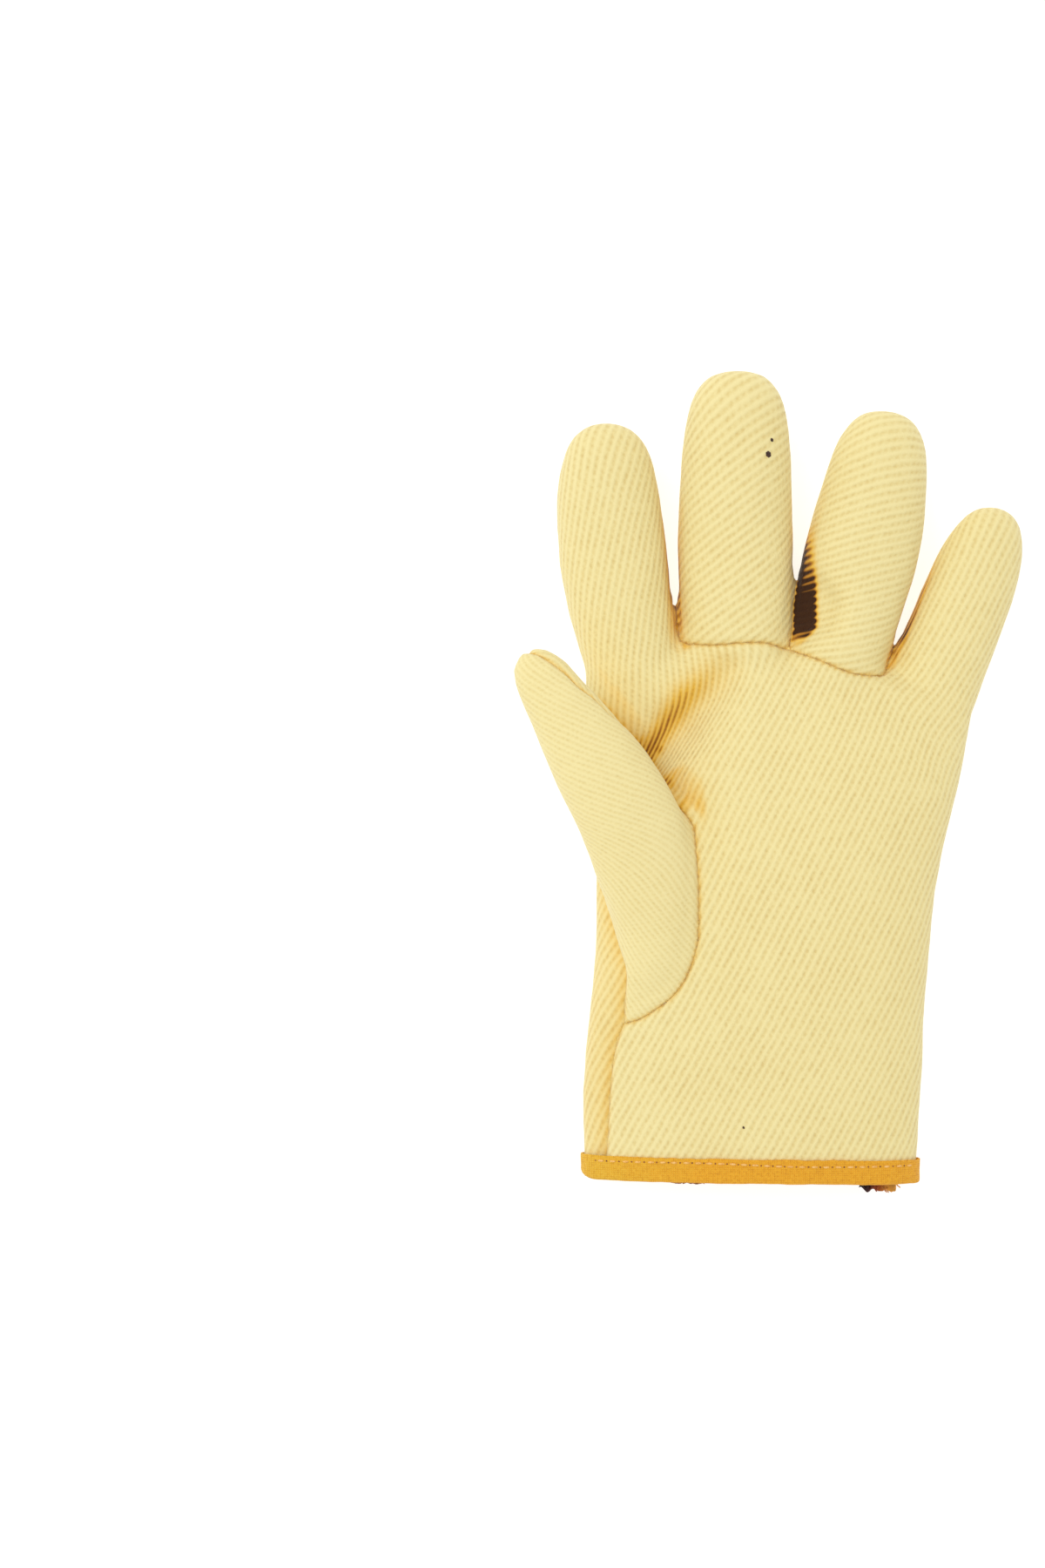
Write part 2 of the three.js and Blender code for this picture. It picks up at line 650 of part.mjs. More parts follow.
// The tape's loose end, lying on the inner layer of the tape and standing out past the cuff
function tapeEndSolid() {
  const seat = clothWall + seamGap + tapeThickness + seamGap;
  const from = tabAcross - tabWidth / 2;
  const to = tabAcross + tabWidth / 2;
  const low = -tabReach - overrun;
  const window = [[from, low], [to, low], [to, tapeWidth], [from, tapeWidth]];
  return handSolid(alongShare(-tabReach), alongShare(tapeWidth * 0.7), -seat)
    .subtract(handSolid(alongShare(low), alongShare(tapeWidth), -seat - tapeThickness))
    .intersect(column(window, farDown, handDepth * 0.4));
}

// Finishes
const twill = new THREE.MeshStandardMaterial({ color: 0xeedf9c, roughness: 0.95, metalness: 0 });
const tape = new THREE.MeshStandardMaterial({ color: 0xe0a330, roughness: 0.85, metalness: 0 });

function meshOf(name, solid, material) {
  const made = solid.getMesh();
  const positions = new Float32Array(made.numVert * 3);
  for (let i = 0; i < made.numVert; i++) {
    positions.set(made.vertProperties.subarray(i * made.numProp, i * made.numProp + 3), i * 3);
  }
  const geometry = new THREE.BufferGeometry();
  geometry.setAttribute("position", new THREE.BufferAttribute(positions, 3));
  geometry.setIndex(new THREE.BufferAttribute(made.triVerts, 1));
  geometry.computeVertexNormals();
  const mesh = new THREE.Mesh(geometry, material);
  mesh.name = name;
  return mesh;
}

const glove = new THREE.Group();
glove.add(meshOf("back_panel", backPanel, twill));
glove.add(meshOf("palm_panel", palmPanel, twill));
glove.add(meshOf("middle_finger_front", middleFront, twill));
glove.add(meshOf("ring_finger_front", ringFront, twill));
glove.add(meshOf("thumb_shell", thumbShell, twill));
glove.add(meshOf("thumb_gusset", thumbGusset, twill));
glove.add(meshOf("cuff_tape", tapeSolid(), tape));
glove.add(meshOf("tape_end", tapeEndSolid(), tape));

// The glove rests on the floor with its origin under the middle of its outline
const bounds = new THREE.Box3().setFromObject(glove);
const centre = bounds.getCenter(new THREE.Vector3());
glove.position.set(-centre.x, -centre.y, -bounds.min.z);

export default glove;
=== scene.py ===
# A heat-resistant work glove, lying palm up on a white table and seen from straight above.
import heapq
import math

import bmesh
import bpy
import numpy as np
from mathutils import Matrix, Vector, noise
from mathutils.bvhtree import BVHTree


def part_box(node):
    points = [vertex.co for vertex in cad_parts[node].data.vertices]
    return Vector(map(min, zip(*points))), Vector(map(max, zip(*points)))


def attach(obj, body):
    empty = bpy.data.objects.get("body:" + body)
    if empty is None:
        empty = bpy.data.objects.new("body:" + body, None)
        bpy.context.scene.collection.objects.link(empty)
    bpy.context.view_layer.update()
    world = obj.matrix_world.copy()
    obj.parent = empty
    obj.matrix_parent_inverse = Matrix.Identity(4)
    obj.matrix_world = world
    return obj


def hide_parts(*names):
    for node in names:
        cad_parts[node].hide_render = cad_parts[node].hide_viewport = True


MM = 0.001

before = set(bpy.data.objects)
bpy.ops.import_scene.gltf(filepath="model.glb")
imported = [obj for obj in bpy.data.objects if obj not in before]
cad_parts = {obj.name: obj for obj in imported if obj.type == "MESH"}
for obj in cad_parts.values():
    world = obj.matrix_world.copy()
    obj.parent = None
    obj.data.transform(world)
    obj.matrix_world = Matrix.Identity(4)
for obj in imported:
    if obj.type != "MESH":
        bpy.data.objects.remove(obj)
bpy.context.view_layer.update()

# Without a seed, the noise that ragged threads follow would differ from run to run
NOISE_SEED = 7
noise.seed_set(NOISE_SEED)

# The photograph's frame, seen from far above, and how high the glove's outline lies
FRAME_HEIGHT = 540 * MM
FRAME_CENTRE = (-84.5 * MM, 0.1 * MM)
CAMERA_HEIGHT = 1500 * MM
OUTLINE_HEIGHT = 18 * MM
SENSOR = 36

# The panels of cloth, and the skin that they are cut from
CLOTH = (
    "back_panel",
    "palm_panel",
    "middle_finger_front",
    "ring_finger_front",
    "thumb_shell",
    "thumb_gusset",
)
WALL = 2.4 * MM
GROWTH = 0.25 * MM
SKIN_STEP = 1.0 * MM
SMOOTHING = 60
CUFF_TRIM = 1.2 * SKIN_STEP
TRIM_SNAP = 0.12 * MM
PANEL_REACH = 6 * MM
LABEL_ROUNDS = 3
UNEVEN = (0.45 * MM, 0.12 * MM)
FACING_UP = 0.2

# The seams, and the thread that crosses those round the back panel
SEAM_REACH = 8 * MM
CREASE_DEPTH = 0.85 * MM
CREASE_WIDTH = 1.1 * MM
PUFF = 0.35 * MM
PUFF_OFF = 2.8 * MM
PUFF_WIDTH = 1.7 * MM
STRIP_DROP = 1.8 * MM
STRIP_EDGE = 5 * MM
STITCH_PITCH = 3.2 * MM
STITCH = (2.0 * MM, 0.8 * MM, 0.7 * MM)
STITCH_TURN = 32
STITCH_LIFT = 0.45 * MM

# The shade painted into the colour of closed-in cloth: how far off something has to stand not to shade it,
# how many directions are tried, the shares of them that start and end the shade, and how much less a surface
# that faces sideways gets; then the painted shade along the seams and on the back panel's strip, and the most
# there can be
OPEN_REACH = 22 * MM
SHADE_RAYS = 26
SHADE_SHARES = (0.2, 0.75)
SIDE_ALLOWANCE = 0.36
SEAM_SHADE = 0.36
SEAM_SHADE_WIDTH = 0.7 * MM
STRIP_SHADE = 0.2
STRIP_SHADE_WIDTH = 4 * MM
MOST_SHADE = 1.35

# The tape over the cuff's edge: its mesh, how it lies, the stitches of its row and the painted shade in its
# holes
TAPE_STEP = 0.55 * MM
TAPE_SMOOTHING = 6
TAPE_SLANT = 1.8 * MM
TAPE_HEIGHT = 0.93
TAPE_CORNER = 4.5 * MM
ROW_DROP = 2.3 * MM
ROW_PITCH = 3.8 * MM
ROW_STITCH = (2.4 * MM, 0.8 * MM, 0.45 * MM)
ROW_HOLE_SHADE = (0.8 * MM, 0.7 * MM, 0.45 * MM)
ROW_LOOKS = 900
TAPE_ORANGE = ((0.65, 0.26, 0.005), (0.8, 0.35, 0.008), (0.88, 0.44, 0.022))
TAPE_YELLOWING = (0.95, 1.16, 2.0)
TAPE_TURNS_ORANGE = (-45 * MM, 5 * MM)
TAPE_THREAD = 0.75 * MM

# Speckled colours: dark, middle and light, and how fine the speckle is
SPECKLES = {
    "cream thread": ((0.6, 0.43, 0.15), (0.8, 0.65, 0.3), (0.88, 0.76, 0.42), 1500.0),
    "orange thread": ((0.72, 0.33, 0.06), (0.9, 0.5, 0.13), (0.95, 0.62, 0.24), 1500.0),
    # The fourth colour is painted shade in the tape's stitch holes, and also the hanging dark threads' own
    # colour
    "hole shade and dark thread": ((0.12, 0.03, 0.01), (0.3, 0.09, 0.015), (0.5, 0.2, 0.03), 1200.0),
    "dark flecks": ((0.02, 0.012, 0.01), (0.05, 0.02, 0.012), (0.12, 0.05, 0.02), 1200.0),
    "frayed threads": ((0.3, 0.3, 0.3), (0.8, 0.8, 0.8), (1.0, 1.0, 1.0), 700.0),
}

# Dark threads that hang below the tape, its frayed end, and from where to where that end turns from black to
# orange, its black partly dark thread and partly painted shadow
HANGING_THREADS = 5
HANGING_START = -34 * MM
HANGING_PITCH = 2.1 * MM
HANGING_THICK = 0.4 * MM
STUB_STEP = 0.35 * MM
FRAYED_THREADS = 26
FRAYED_THICK = 0.42 * MM
DARK_THREAD_AND_SHADOW_SPAN = (31.5 * MM, 45.5 * MM)

# The light: its strength from all sides, and one soft lamp above the glove
ROOM_LIGHT = 0.8
LAMP_PLACE = (-0.8, 0.6, 2.1)
LAMP_WIDTH = 1.1
LAMP_WATTS = 15
TABLE_HALF = 3
TABLE_DROP = 0.2 * MM
TABLE_WHITE = 0.45
TABLE_GLOW = 0.74

# Laying a panel flat: the share of its faces that the work is done on, and its rounds
LIGHT_SHARE = 0.06
UNWRAP_ROUNDS = 60

# The twill: rib period, float length along a rib, slubs, how far the ribs stand up, and its colours. The
# first three colours are open cloth's, and the others are painted shade that deepens them where the cloth is
# closed in.
RIB = 2.4 * MM
FLOAT = 1.9 * MM
FLOAT_SLANT = 25
SLUB_WIDE = 1.5 * MM
SLUB_LONG = 3.2 * MM
RIB_RISE = 0.3 * MM
FURROW = (0.7, 0.52, 0.19)
MIDTONE = (0.83, 0.69, 0.31)
RIB_TOP = (0.89, 0.77, 0.38)
PAINTED_SHADE_OCHRE = (0.98, 0.7, 0.19)
PAINTED_SHADE_BROWN = (0.5, 0.24, 0.045)
PAINTED_SHADE_DARKEST = (0.05, 0.018, 0.004)

# Each panel: the side it is seen from (1 from above, -1 from below), the angle of its ribs, their period and
# how plain they stand out
PANELS = {
    "back_panel": (-1, 62, 2.7 * MM, 0.88),
    "palm_panel": (1, 61.5, 2.5 * MM, 0.88),
    "middle_finger_front": (1, 36, 2.75 * MM, 0.88),
    "ring_finger_front": (1, 12.5, 2.5 * MM, 0.8),
    "thumb_shell": (1, 160, 1.9 * MM, 0.6),
    "thumb_gusset": (1, 130, 2.2 * MM, 0.6),
}

# Where gathers turn the cloth's grain: the line it starts from, which has the turned cloth on its left, the
# point it turns about, the degrees, how wide the change is and how far the turned cloth reaches, in mm
GRAIN_TURNS = {
    "palm_panel": (
        ((-53, -6), (-14, 37), (-14, 37), -32, 14, 116),
        ((38, 37), (66, 5), (52, 21), 21, 15, 100),
    ),
    "thumb_shell": (((-30, -25), (-61, -25), (-45, -25), 28, 16, 90),),
}

# Folds pressed into the palm: from, to, depth there and spread there, in mm
FOLDS = (
    ((-44, 1), (-30, 19), (1.2, 5.0), (5.0, 6.0)),
    ((-30, 19), (-13, 39), (5.0, 2.8), (6.0, 5.0)),
    ((-34, 6), (-28, -9.5), (1.0, 2.2), (4.0, 3.6)),
)

# Where painted shade darkens the cloth in those folds and in one finger crotch: from, to, how deeply there
# and how widely there, in mm
FOLD_SHADES = (
    ((-43, 9), (-29, 29.5), (0.8, 0.6), (3.2, 5.2)),
    ((-29, 29.5), (-16.5, 40.5), (0.6, 0.16), (5.2, 5.8)),
    ((-42.5, 9), (-35, 20), (0.76, 0.6), (1.6, 2.0)),
    ((-31.5, -10), (-26, -2), (0.66, 0.24), (2.2, 2.6)),
    ((-38, 4), (-31, -6), (0.28, 0.32), (3.5, 3.0)),
    ((-29.6, 62), (-28.2, 47.5), (0.92, 0.6), (1.4, 1.2)),
)

# The hollow between the middle and ring fingers: its side by the middle finger, the rows where it starts, is
# fully open, starts to close and is closed, and how far and over what heights the ring finger is drawn aside
HOLLOW_EDGE = 10.3 * MM
HOLLOW_ROWS = (45 * MM, 55 * MM, 62 * MM, 77 * MM)
HOLLOW_WIDTH = 9.5 * MM
HOLLOW_SPREAD = 13 * MM
HOLLOW_HEIGHTS = (17 * MM, 26 * MM)

# Its painted shade: how deep it is low down and further up, how far it reaches past the edge, and its highest
# point
HOLLOW_SHADE = (1.3, 0.7)
HOLLOW_SIDE = 6.5 * MM
HOLLOW_TOP = 28 * MM

# Dark flecks on the cloth, with how large each is, and the bead of one
FLECKS = ((-0.8, 112.3, 1.5), (0.4, 117.2, 0.9), (-9.2, -116.9, 0.6))
FLECK = (1.7 * MM, 1.4 * MM, 0.5 * MM)


def object_of(name, bm):
    mesh = bpy.data.meshes.new(name)
    bm.to_mesh(mesh)
    bm.free()
    made = bpy.data.objects.new(name, mesh)
    bpy.context.collection.objects.link(made)
    return made


def node_bmesh(name):
    """A copy of a solid, with its loose triangles joined up."""
    bm = bmesh.new()
    bm.from_mesh(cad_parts[name].data)
    bmesh.ops.remove_doubles(bm, verts=bm.verts, dist=0.01 * MM)
    bm.normal_update()
    return bm


def applied(piece):
    """The piece with its modifiers applied."""
    graph = bpy.context.evaluated_depsgraph_get()
    mesh = bpy.data.meshes.new_from_object(piece.evaluated_get(graph))
    piece.modifiers.clear()
    piece.data = mesh
    return piece


def evened(bm, verts):
    """Moves vertices half way to the middle of those around them."""
    bmesh.ops.smooth_vert(bm, verts=verts, factor=0.5, use_axis_x=True, use_axis_y=True, use_axis_z=True)


def remeshed(piece, step):
    remesh = piece.modifiers.new("remesh", "REMESH")
    remesh.mode = "VOXEL"
    remesh.voxel_size = step
    return applied(piece)


def smoothstep(x, low, high):
    share = min(max((x - low) / (high - low), 0), 1)
    return share * share * (3 - 2 * share)


def bell(away, spread):
    return math.exp(-((away / spread) ** 2))


def between(ends, share):
    return ends[0] + (ends[1] - ends[0]) * share


def only_on(v, name):
    """Whether a vertex of the skin lies inside the panel."""
    return all(f.material_index == CLOTH.index(name) for f in v.link_faces)


def partly_on(v, name):
    return any(f.material_index == CLOTH.index(name) for f in v.link_faces)


def islands_of(bm):
    """The vertices of each connected piece of a mesh."""
    islands = []
    unseen = set(bm.verts)
    for start in bm.verts:
        if start not in unseen:
            continue
        unseen.remove(start)
        island = [start]
        for v in island:
            for e in v.link_edges:
                other = e.other_vert(v)
                if other in unseen:
                    unseen.remove(other)
                    island.append(other)
        islands.append(island)
    return islands


def cloth_solid(name):
    """A copy of a cloth solid. The ring finger's is drawn aside, away from the middle finger."""
    bm = node_bmesh(name)
    if name == "ring_finger_front":
        bmesh.ops.subdivide_edges(bm, edges=bm.edges, cuts=1, use_grid_fill=True)
        start, full, fading, end = HOLLOW_ROWS
        for v in bm.verts:
            x, y, z = v.co
            rows = smoothstep(y, start, full) * (1 - smoothstep(y, fading, end))
            aside = bell(x - HOLLOW_EDGE, HOLLOW_SPREAD) * smoothstep(z, *HOLLOW_HEIGHTS)
            v.co.x += HOLLOW_WIDTH * rows * aside
        bm.normal_update()
    return bm


def outer_skin():
    """The outside of the whole glove as one open skin, from solids that are grown over the seam gaps."""
    whole = bmesh.new()
    for name in CLOTH:
        bm = cloth_solid(name)
        for v in bm.verts:
            v.co += v.normal * GROWTH
        grown = bpy.data.meshes.new(name)
        bm.to_mesh(grown)
        bm.free()
        whole.from_mesh(grown)
        bpy.data.meshes.remove(grown)
    skin = remeshed(object_of("skin", whole), SKIN_STEP)
    bm = bmesh.new()
    bm.from_mesh(skin.data)
    bpy.data.objects.remove(skin)
    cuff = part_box("back_panel")[0].y
    everything = bm.verts[:] + bm.edges[:] + bm.faces[:]
    bmesh.ops.bisect_plane(
        bm,
        geom=everything,
        dist=TRIM_SNAP,
        plane_co=(0, cuff + CUFF_TRIM, 0),
        plane_no=(0, 1, 0),
        clear_inner=True,
    )
    islands = islands_of(bm)
    islands.sort(key=lambda island: max(v.co.y for v in island))
    for island in islands[:-1]:
        bmesh.ops.delete(bm, geom=island, context="VERTS")
    return bm


def label_panels(bm):
    """Gives each face the panel that lies nearest, and marks the edges between two panels as seams."""
    trees = []
    for name in CLOTH:
        solid = cloth_solid(name)
        trees.append(BVHTree.FromBMesh(solid))
        solid.free()
    bm.faces.ensure_lookup_table()
    for face in bm.faces:
        centre = face.calc_center_median()
        away = []
        for tree in trees:
            hit = tree.find_nearest(centre, PANEL_REACH)
            away.append(hit[3] if hit[0] else 1.0)
        face.material_index = away.index(min(away))
    for _ in range(LABEL_ROUNDS):
        for face in bm.faces:
            around = [f.material_index for e in face.edges for f in e.link_faces if f is not face]
            common = max(set(around), key=around.count)
            if around.count(common) > len(around) / 2:
                face.material_index = common
    for edge in bm.edges:
        edge.seam = len(edge.link_faces) == 2 and len({f.material_index for f in edge.link_faces}) == 2


def settle(bm, rounds):
    """Smooths the skin, and each seam along itself."""
    chains = {}
    for edge in bm.edges:
        if edge.seam:
            for v in edge.verts:
                chains.setdefault(v, []).append(edge.other_vert(v))
    rim = {v for v in bm.verts if v.is_boundary}
    free = [v for v in bm.verts if v not in chains and v not in rim]
    for _ in range(rounds):
        evened(bm, free)
        moves = []
        for v, near in chains.items():
            if v in rim:
                continue
            normal = v.normal
            around = sum((e.other_vert(v).co for e in v.link_edges), Vector()) / len(v.link_edges) - v.co
            move = normal * around.dot(normal)
            if len(near) == 2:
                along = (near[0].co + near[1].co) / 2 - v.co
                move += along - normal * along.dot(normal)
            moves.append((v, move))
        for v, move in moves:
            v.co += move * 0.5
        bm.normal_update()


def smooth_skin(bm):
    """Smooths the skin without shrinking it: what a second smoothing takes off is given back."""
    settle(bm, SMOOTHING)
    once = [v.co.copy() for v in bm.verts]
    settle(bm, SMOOTHING)
    for v, co in zip(bm.verts, once):
        v.co = 2 * co - v.co
    bm.normal_update()
    for v in bm.verts:
        v.co -= v.normal * GROWTH
        v.co.z = max(v.co.z, 0)
    bm.normal_update()


def along_line(place, start, end):
    """How far along a line its point nearest to a place lies, from 0 to 1, and how far off the place is."""
    line = end - start
    share = min(max((place - start).dot(line) / line.length_squared, 0), 1)
    return share, (place - start - line * share).length


def press_folds(bm, away):
    """Presses the palm's folds deeper and sharper than the solids have them, fading out at its seams."""
    for v in bm.verts:
        if v.normal.z < 0 or not only_on(v, "palm_panel"):
            continue
        place = v.co.xy / MM
        sunk = 0
        for start, end, depths, spreads in FOLDS:
            share, off = along_line(place, Vector(start), Vector(end))
            depth = between(depths, share) * bell(off, between(spreads, share))
            if abs(depth) > abs(sunk):
                sunk = depth
        v.co.z -= sunk * MM * smoothstep(v.normal.z, 0, 0.4) * smoothstep(away.get(v.index, 1), 0, 4 * MM)
    bm.normal_update()


def seam_distances(bm):
    """How far each vertex near a seam lies from it, measured over the skin."""
    away = {}
    queue = []
    for v in bm.verts:
        if any(e.seam for e in v.link_edges):
            away[v.index] = 0.0
            heapq.heappush(queue, (0.0, v.index, v.index))
    bm.verts.ensure_lookup_table()
    while queue:
        distance, at, source = heapq.heappop(queue)
        if distance > away.get(at, 1.0):
            continue
        origin = bm.verts[source].co
        for e in bm.verts[at].link_edges:
            other = e.other_vert(bm.verts[at])
            far = (other.co - origin).length
            if far < SEAM_REACH and far < away.get(other.index, 1.0) - 1e-7:
                away[other.index] = far
                heapq.heappush(queue, (far, other.index, source))
    return away


def shape_seams(bm, away):
    """Sinks the seams into creases with puffed edges, and makes the cloth a little uneven."""
    moved = []
    for v in bm.verts:
        d = away.get(v.index, 1.0)
        crease = CREASE_DEPTH * bell(d, CREASE_WIDTH)
        pucker = 0.65 + 0.7 * noise.noise(v.co * 170)
        puff = PUFF * pucker * bell(d - PUFF_OFF, PUFF_WIDTH)
        broad, fine = UNEVEN
        uneven = broad * noise.noise(v.co * 38) + fine * noise.noise(v.co * 130 + Vector((5, 0, 0)))
        if v.is_boundary:
            uneven = 0
        strip = v.normal.z > FACING_UP and only_on(v, "back_panel")
        sunk = STRIP_DROP * bell(d, STRIP_EDGE) if strip else 0
        moved.append((v, v.normal * (puff - crease - sunk + uneven)))
    for v, move in moved:
        v.co += move
        v.co.z = max(v.co.z, 0)


def directions(count):
    """Directions spread evenly over a sphere."""
    golden = math.pi * (3 - math.sqrt(5))
    spread = []
    for i in range(count):
        z = 1 - (2 * i + 1) / count
        level = math.sqrt(1 - z * z)
        spread.append(Vector((math.cos(golden * i) * level, math.sin(golden * i) * level, z)))
    return spread


def hollow_shade(v):
    """The painted shade of the hollow by the middle finger: deepest low down, fading up the ring finger's
    side.
    """
    x, y, z = v.co
    start, full, fading, end = HOLLOW_ROWS
    if x < HOLLOW_EDGE - 4 * MM or partly_on(v, "middle_finger_front"):
        return 0
    opened = smoothstep(y, start, full)
    side = HOLLOW_EDGE + HOLLOW_SIDE * opened
    across = 1 - smoothstep(x, side - 1.6 * MM, side + 1.2 * MM)
    shade = between(HOLLOW_SHADE, smoothstep(y, fading, end))
    rows = opened * (1 - smoothstep(y, end, end + 14 * MM))
    return shade * rows * across * smoothstep(HOLLOW_TOP - z, 0, 5 * MM)


def fold_shade(place):
    """How deeply the painted shade of the palm's folds darkens the cloth at a place."""
    deepest = 0
    for start, end, strengths, spreads in FOLD_SHADES:
        share, away = along_line(place.xy / MM, Vector(start), Vector(end))
        deepest = max(deepest, between(strengths, share) * bell(away, between(spreads, share)))
    return deepest


def shade_folds(bm, away):
    """Writes painted shade as the crease attribute: how closed in each point is, plus the hollow, folds,
    strip and seams.
    """
    layer = bm.verts.layers.float.new("crease")
    tree = BVHTree.FromBMesh(bm)
    rays = directions(SHADE_RAYS)
    shut = []
    for v in bm.verts:
        normal = v.normal
        start = v.co + normal * 0.6 * MM
        seen = blocked = 0.0
        for ray in rays:
            facing = ray.dot(normal)
            if facing > 0.15:
                seen += facing
                if tree.ray_cast(start, ray, OPEN_REACH)[0]:
                    blocked += facing
        shut.append(blocked / seen)
    for _ in range(2):
        near = shut
        shut = []
        for v in bm.verts:
            around = [near[e.other_vert(v).index] for e in v.link_edges]
            shut.append((near[v.index] + sum(around)) / (1 + len(around)))
    for v, share in zip(bm.verts, shut):
        off = away.get(v.index, 1.0)
        sideways = 1 - max(v.normal.z, 0)
        shade = smoothstep(share - SIDE_ALLOWANCE * sideways, *SHADE_SHARES) + hollow_shade(v)
        if v.normal.z > FACING_UP and partly_on(v, "palm_panel"):
            shade = max(shade, fold_shade(v.co))
        # Painted shade on the back panel's strip: a little all over it, and more by its seam
        if v.normal.z > FACING_UP and only_on(v, "back_panel"):
            shade += STRIP_SHADE * (0.5 + bell(off, STRIP_SHADE_WIDTH))
        v[layer] = min(max(shade, SEAM_SHADE * bell(off, SEAM_SHADE_WIDTH)), MOST_SHADE)


def stitch_spots(bm):
    """Places of the stitches on the seams round the back panel, with each one's direction and normal."""
    back = CLOTH.index("back_panel")
    near = {}
    for edge in bm.edges:
        if not edge.seam or back not in {f.material_index for f in edge.link_faces}:
            continue
        one, other = edge.verts
        if (one.normal + other.normal).z < 0.6:
            near.setdefault(one, []).append(other)
            near.setdefault(other, []).append(one)
    starts = sorted(near, key=lambda v: (len(near[v]), v.index))
    seen = set()
    spots = []
    for start in starts:
        if start in seen:
            continue
        seen.add(start)
        ends = [(start, 0.0)]
        while ends:
            at, run = ends.pop()
            for v in near[at]:
                if v in seen:
                    continue
                seen.add(v)
                step = v.co - at.co
                ran = run + step.length
                if ran > STITCH_PITCH:
                    spots.append((v.co.copy(), step.normalized(), v.normal.copy()))
                    ran = 0.0
                ends.append((v, ran))
    return spots


def fleck_spots(bm):
    """Where the dark flecks lie on the cloth."""
    tree = BVHTree.FromBMesh(bm)
    spots = []
    for x, y, grown in FLECKS:
        place, normal = tree.ray_cast(Vector((x * MM, y * MM, 1)), Vector((0, 0, -1)))[:2]
        spots.append((place, normal.cross(Vector((1, 0.6, 0))).normalized(), normal, grown))
    return spots


def sew(name, spots, size, turn, lift):
    """Short rounded stitches, each laid along its direction, turned to one side and the other by turns."""
    bm = bmesh.new()
    for number, (place, along, normal, *grown) in enumerate(spots):
        across = normal.cross(along).normalized()
        angle = math.radians(turn) * (1 if number % 2 else -1)
        lengthways = along * math.cos(angle) + across * math.sin(angle)
        sideways = normal.cross(lengthways)
        turned = Matrix((lengthways, sideways, normal)).transposed().to_4x4()
        half = Vector(size) / 2 * (grown[0] if grown else 1)
        sized = Matrix.Diagonal((*half, 1))
        matrix = Matrix.Translation(place + normal * lift) @ turned @ sized
        bmesh.ops.create_uvsphere(bm, u_segments=6, v_segments=4, radius=1, matrix=matrix)
    for face in bm.faces:
        face.smooth = True
    return object_of(name, bm)


def panels_of(bm):
    """Splits the skin along its seams into one open mesh for each panel."""
    pieces = {}
    for number, name in enumerate(CLOTH):
        part = bm.copy()
        others = [f for f in part.faces if f.material_index != number]
        bmesh.ops.delete(part, geom=others, context="FACES")
        for face in part.faces:
            face.material_index = 0
            face.smooth = True
        pieces[name] = part
    return pieces


def unwrap(piece):
    """Lays a panel flat with little stretch, worked out on a lighter copy of it."""
    light = bpy.data.objects.new("light", piece.data.copy())
    bpy.context.collection.objects.link(light)
    light.modifiers.new("fewer", "DECIMATE").ratio = LIGHT_SHARE
    applied(light)
    bpy.ops.object.select_all(action="DESELECT")
    bpy.context.view_layer.objects.active = light
    light.select_set(True)
    bpy.ops.object.mode_set(mode="EDIT")
    bpy.ops.mesh.select_all(action="SELECT")
    bpy.ops.uv.unwrap(method="MINIMUM_STRETCH", iterations=UNWRAP_ROUNDS, margin=0)
    bpy.ops.object.mode_set(mode="OBJECT")
    light.data.uv_layers.active.name = "weave"
    piece.data.uv_layers.new(name="weave")
    transfer = piece.modifiers.new("flat", "DATA_TRANSFER")
    transfer.object = light
    transfer.use_loop_data = True
    transfer.data_types_loops = {"UV"}
    transfer.loop_mapping = "POLYINTERP_NEAREST"
    applied(piece)
    bpy.data.objects.remove(light)


def cut_flat(piece, seen_from):
    """The panel's cloth laid flat, in metres, and turned to lie as the glove does."""
    unwrap(piece)
    mesh = piece.data
    corners = np.empty(len(mesh.loops), int)
    mesh.loops.foreach_get("vertex_index", corners)
    flat = np.empty(2 * len(mesh.loops))
    mesh.uv_layers["weave"].uv.foreach_get("vector", flat)
    flat = flat.reshape(-1, 2)
    places = np.empty(3 * len(mesh.vertices))
    mesh.vertices.foreach_get("co", places)
    places = places.reshape(-1, 3)[corners]
    normals = np.empty(3 * len(mesh.vertices))
    mesh.vertices.foreach_get("normal", normals)
    facing = normals.reshape(-1, 3)[corners][:, 2] * seen_from
    weight = np.clip(facing - 0.6, 0, None)
    cut = flat[:, 0] + 1j * flat[:, 1]
    lying = places[:, 0] * seen_from + 1j * places[:, 1]
    cut_centre = np.average(cut, weights=weight)
    lying_centre = np.average(lying, weights=weight)
    turn = np.sum(weight * np.conj(cut - cut_centre) * (lying - lying_centre))
    scale = math.sqrt(sum(p.area for p in mesh.polygons) / flat_area(mesh, flat))
    laid = (cut - cut_centre) * scale * turn / abs(turn) + lying_centre
    return laid, lying


def flat_area(mesh, flat):
    """The area that a mesh's faces take up in a flat map."""
    total = 0
    for face in mesh.polygons:
        ring = flat[face.loop_start : face.loop_start + face.loop_total]
        x, y = ring[:, 0], ring[:, 1]
        total += abs(np.dot(x, np.roll(y, -1)) - np.dot(y, np.roll(x, -1))) / 2
    return total


def turned_grain(laid, lying, turns):
    """The flat cloth with its grain turned where the glove's gathers turn it."""
    for start, end, about, degrees, width, reach in turns:
        start, end, about = complex(*start) * MM, complex(*end) * MM, complex(*about) * MM
        along = (end - start) / abs(end - start)
        left = (np.conj(along) * (lying - start)).imag
        share = np.clip(left / (2 * width * MM) + 0.5, 0, 1)
        share = share * share * (3 - 2 * share) * (abs(lying - about) < reach * MM)
        pivot = laid[np.argmin(abs(lying - about))]
        laid = pivot + (laid - pivot) * np.exp(1j * math.radians(degrees) * share)
    return laid


